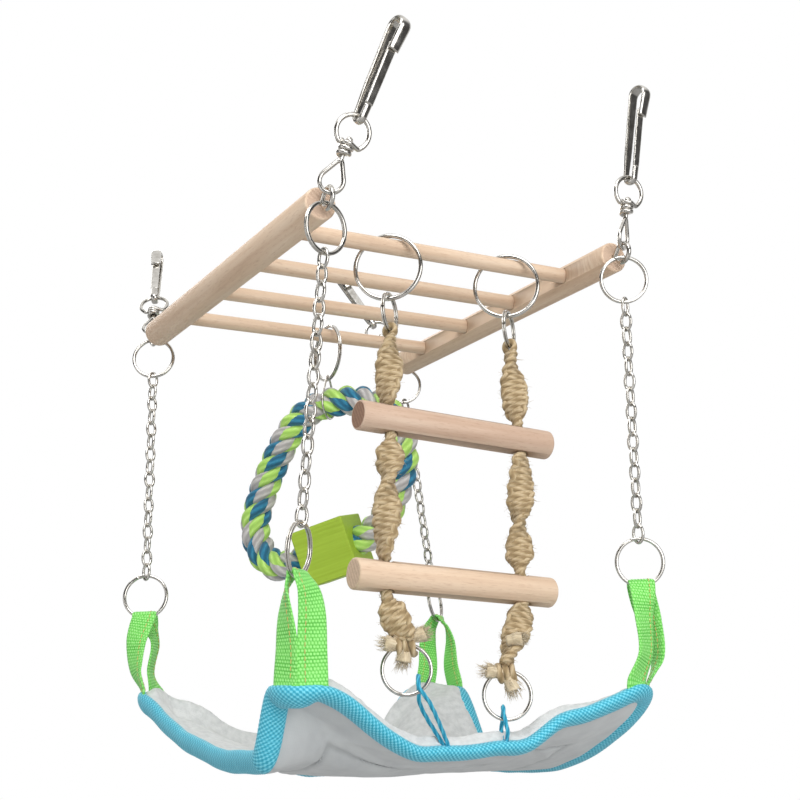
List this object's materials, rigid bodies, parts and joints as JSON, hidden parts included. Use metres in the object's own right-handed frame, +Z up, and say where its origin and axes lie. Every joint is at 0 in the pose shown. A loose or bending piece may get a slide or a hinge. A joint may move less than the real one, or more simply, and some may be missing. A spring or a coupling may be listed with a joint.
{
  "type": "hanging pet bridge with hammock",
  "caption": "Wooden ladder bridge hung on swivel snap hooks, with a chained padded hammock below, a knotted rope ladder and a twisted rope ring with a block.",
  "frame": {"origin": "middle of the wooden bridge, on the plane of the rails' and rungs' axes", "axes": "X runs along the rungs from left to right, Y along the rails from the ladder's end to the rope ring's end, and Z is up"},
  "size_m": [0.1598, 0.2385, 0.2637],
  "materials": {
    "beech_wood": "bare sanded beech, pale, fine grain",
    "nickel_wire": "bright nickel-plated steel wire",
    "nickel_strip": "bright nickel-plated steel strip",
    "green_webbing": "ribbed woven webbing, bright green",
    "blue_webbing": "ribbed woven webbing, sky blue",
    "blue_cord": "thin braided cord, blue",
    "plush_cloth": "white plush inside, smooth pale grey cloth outside",
    "jute": "knotted natural jute",
    "cotton_rope": "three-strand cotton in lime green, teal and grey",
    "green_paint": "lime green stain over visible grain"
  },
  "bodies": {
    "bridge": {"rail_left": "beech_wood", "rail_right": "beech_wood", "rung_1": "beech_wood", "rung_2": "beech_wood", "rung_3": "beech_wood", "rung_4": "beech_wood", "screw_eye_near_left": "nickel_wire", "screw_eye_far_left": "nickel_wire", "screw_eye_near_right": "nickel_wire", "screw_eye_far_right": "nickel_wire"},
    "loop_near_left": {"swivel_loop_near_left": "nickel_wire"},
    "swivel_near_left": {"swivel_ring_near_left": "nickel_wire"},
    "hook_near_left": {"hook_body_near_left": "nickel_strip"},
    "gate_near_left": {"hook_gate_near_left": "nickel_strip"},
    "hanger_near_left": {"top_ring_near_left": "nickel_wire", "chain_near_left": "nickel_wire", "bottom_ring_near_left": "nickel_wire"},
    "loop_far_left": {"swivel_loop_far_left": "nickel_wire"},
    "swivel_far_left": {"swivel_ring_far_left": "nickel_wire"},
    "hook_far_left": {"hook_body_far_left": "nickel_strip"},
    "gate_far_left": {"hook_gate_far_left": "nickel_strip"},
    "hanger_far_left": {"top_ring_far_left": "nickel_wire", "chain_far_left": "nickel_wire", "bottom_ring_far_left": "nickel_wire"},
    "loop_near_right": {"swivel_loop_near_right": "nickel_wire"},
    "swivel_near_right": {"swivel_ring_near_right": "nickel_wire"},
    "hook_near_right": {"hook_body_near_right": "nickel_strip"},
    "gate_near_right": {"hook_gate_near_right": "nickel_strip"},
    "hanger_near_right": {"top_ring_near_right": "nickel_wire", "chain_near_right": "nickel_wire", "bottom_ring_near_right": "nickel_wire"},
    "loop_far_right": {"swivel_loop_far_right": "nickel_wire"},
    "swivel_far_right": {"swivel_ring_far_right": "nickel_wire"},
    "hook_far_right": {"hook_body_far_right": "nickel_strip"},
    "gate_far_right": {"hook_gate_far_right": "nickel_strip"},
    "hanger_far_right": {"top_ring_far_right": "nickel_wire", "chain_far_right": "nickel_wire", "bottom_ring_far_right": "nickel_wire"},
    "hammock": {"hammock_pad": "plush_cloth", "hammock_binding": "blue_webbing", "strap_near_left": "green_webbing", "strap_far_left": "green_webbing", "strap_near_right": "green_webbing", "strap_far_right": "green_webbing", "ladder_tie_left": "blue_cord", "ladder_tie_right": "blue_cord"},
    "ladder": {"ladder_ring_left": "nickel_wire", "ladder_link_left": "nickel_wire", "ladder_rope_left": "jute", "ladder_foot_ring_left": "nickel_wire", "ladder_ring_right": "nickel_wire", "ladder_link_right": "nickel_wire", "ladder_rope_right": "jute", "ladder_foot_ring_right": "nickel_wire", "ladder_rung_upper": "beech_wood", "ladder_rung_lower": "beech_wood"},
    "toy_ring": {"toy_ring": "nickel_wire"},
    "rope_toy": {"toy_tie": "nickel_wire", "toy_rope": "cotton_rope", "toy_block": "green_paint"}
  },
  "joints": [
    {"name": "loop_near_left_swing", "type": "hinge", "parent": "bridge", "child": "loop_near_left", "pos_m": [-0.064, -0.0873, 0], "axis": [1, 0, 0], "range_deg": [-20, 20]},
    {"name": "swivel_near_left_spin", "type": "hinge", "parent": "loop_near_left", "child": "swivel_near_left", "pos_m": [-0.05715, -0.09468, 0.02325], "axis": [0.3158, -0.2871, 0.9044], "continuous": true},
    {"name": "hook_near_left_swing", "type": "hinge", "parent": "swivel_near_left", "child": "hook_near_left", "pos_m": [-0.05547, -0.0962, 0.02804], "axis": [-0.9438, 0.0025, 0.3304], "range_deg": [-50, 50]},
    {"name": "gate_near_left_press", "type": "hinge", "parent": "hook_near_left", "child": "gate_near_left", "pos_m": [-0.0542, -0.0995, 0.03169], "axis": [-0.9438, 0.0025, 0.3304], "range_deg": [0, 6], "stiffness_Nm_per_rad": 0.5, "springref_deg": -2.86},
    {"name": "loop_far_left_swing", "type": "hinge", "parent": "bridge", "child": "loop_far_left", "pos_m": [-0.064, 0.0873, 0], "axis": [1, 0, 0], "range_deg": [-20, 20]},
    {"name": "swivel_far_left_spin", "type": "hinge", "parent": "loop_far_left", "child": "swivel_far_left", "pos_m": [-0.05899, 0.10171, 0.02032], "axis": [0.2309, 0.5628, 0.7937], "continuous": true},
    {"name": "hook_far_left_swing", "type": "hinge", "parent": "swivel_far_left", "child": "hook_far_left", "pos_m": [-0.05777, 0.10469, 0.02453], "axis": [-0.8765, 0.4744, -0.0814], "range_deg": [-50, 50]},
    {"name": "gate_far_left_press", "type": "hinge", "parent": "hook_far_left", "child": "gate_far_left", "pos_m": [-0.05756, 0.10592, 0.02946], "axis": [-0.8765, 0.4744, -0.0814], "range_deg": [0, 6], "stiffness_Nm_per_rad": 0.5, "springref_deg": -2.86},
    {"name": "loop_near_right_swing", "type": "hinge", "parent": "bridge", "child": "loop_near_right", "pos_m": [0.064, -0.0873, 0], "axis": [1, 0, 0], "range_deg": [-20, 20]},
    {"name": "swivel_near_right_spin", "type": "hinge", "parent": "loop_near_right", "child": "swivel_near_right", "pos_m": [0.06682, -0.09062, 0.0251], "axis": [0.1301, -0.1301, 0.9829], "continuous": true},
    {"name": "hook_near_right_swing", "type": "hinge", "parent": "swivel_near_right", "child": "hook_near_right", "pos_m": [0.06751, -0.09131, 0.03031], "axis": [-0.9897, 0.0434, 0.1367], "range_deg": [-50, 50]},
    {"name": "gate_near_right_press", "type": "hinge", "parent": "hook_near_right", "child": "gate_near_right", "pos_m": [0.06799, -0.09395, 0.03462], "axis": [-0.9897, 0.0434, 0.1367], "range_deg": [0, 6], "stiffness_Nm_per_rad": 0.5, "springref_deg": -2.86},
    {"name": "loop_far_right_swing", "type": "hinge", "parent": "bridge", "child": "loop_far_right", "pos_m": [0.064, 0.0873, 0], "axis": [1, 0, 0], "range_deg": [-20, 20]},
    {"name": "swivel_far_right_spin", "type": "hinge", "parent": "loop_far_right", "child": "swivel_far_right", "pos_m": [0.05901, 0.10017, 0.02134], "axis": [-0.2299, 0.5028, 0.8333], "continuous": true},
    {"name": "hook_far_right_swing", "type": "hinge", "parent": "swivel_far_right", "child": "hook_far_right", "pos_m": [0.05779, 0.10284, 0.02575], "axis": [-0.8095, 0.3764, -0.4505], "range_deg": [-50, 50]},
    {"name": "gate_far_right_press", "type": "hinge", "parent": "hook_far_right", "child": "gate_far_right", "pos_m": [0.05562, 0.10358, 0.03028], "axis": [-0.8095, 0.3764, -0.4505], "range_deg": [0, 6], "stiffness_Nm_per_rad": 0.5, "springref_deg": -2.86},
    {"name": "hanger_near_left_swing", "type": "hinge", "parent": "bridge", "child": "hanger_near_left", "pos_m": [-0.064, -0.0873, 0], "axis": [1, 0, 0], "range_deg": [-6, 6]},
    {"name": "hanger_far_left_swing", "type": "hinge", "parent": "bridge", "child": "hanger_far_left", "pos_m": [-0.064, 0.0873, 0], "axis": [1, 0, 0], "range_deg": [-6.5, 6.5]},
    {"name": "hanger_near_right_swing", "type": "hinge", "parent": "bridge", "child": "hanger_near_right", "pos_m": [0.064, -0.0873, 0], "axis": [1, 0, 0], "range_deg": [-6.5, 6.5]},
    {"name": "hanger_far_right_swing", "type": "hinge", "parent": "bridge", "child": "hanger_far_right", "pos_m": [0.064, 0.0873, 0], "axis": [1, 0, 0], "range_deg": [-6.5, 6.5]},
    {"name": "hammock_level", "type": "hinge", "parent": "hanger_near_left", "child": "hammock", "pos_m": [-0.07152, -0.07352, -0.12713], "axis": [1, 0, 0], "range_deg": [-7.5, 7.5]},
    {"name": "ladder_swing", "type": "hinge", "parent": "bridge", "child": "ladder", "pos_m": [0, -0.0555, 0], "axis": [1, 0, 0], "range_deg": [-4.6, 4.6]},
    {"name": "toy_ring_swing", "type": "hinge", "parent": "bridge", "child": "toy_ring", "pos_m": [0.0075, 0.0555, 0], "axis": [1, 0, 0], "range_deg": [-25, 25]},
    {"name": "rope_toy_swing", "type": "hinge", "parent": "toy_ring", "child": "rope_toy", "pos_m": [0.0075, 0.0555, -0.0208], "axis": [0, 1, 0], "range_deg": [-20, 20]}
  ],
  "couplings": [
    {"joint": "hanger_far_left_swing", "follows": "hanger_near_left_swing", "ratio": 1},
    {"joint": "hanger_near_right_swing", "follows": "hanger_near_left_swing", "ratio": 1},
    {"joint": "hanger_far_right_swing", "follows": "hanger_near_left_swing", "ratio": 1},
    {"joint": "hammock_level", "follows": "hanger_near_left_swing", "ratio": -1.188},
    {"joint": "ladder_swing", "follows": "hanger_near_left_swing", "ratio": 0.697}
  ]
}
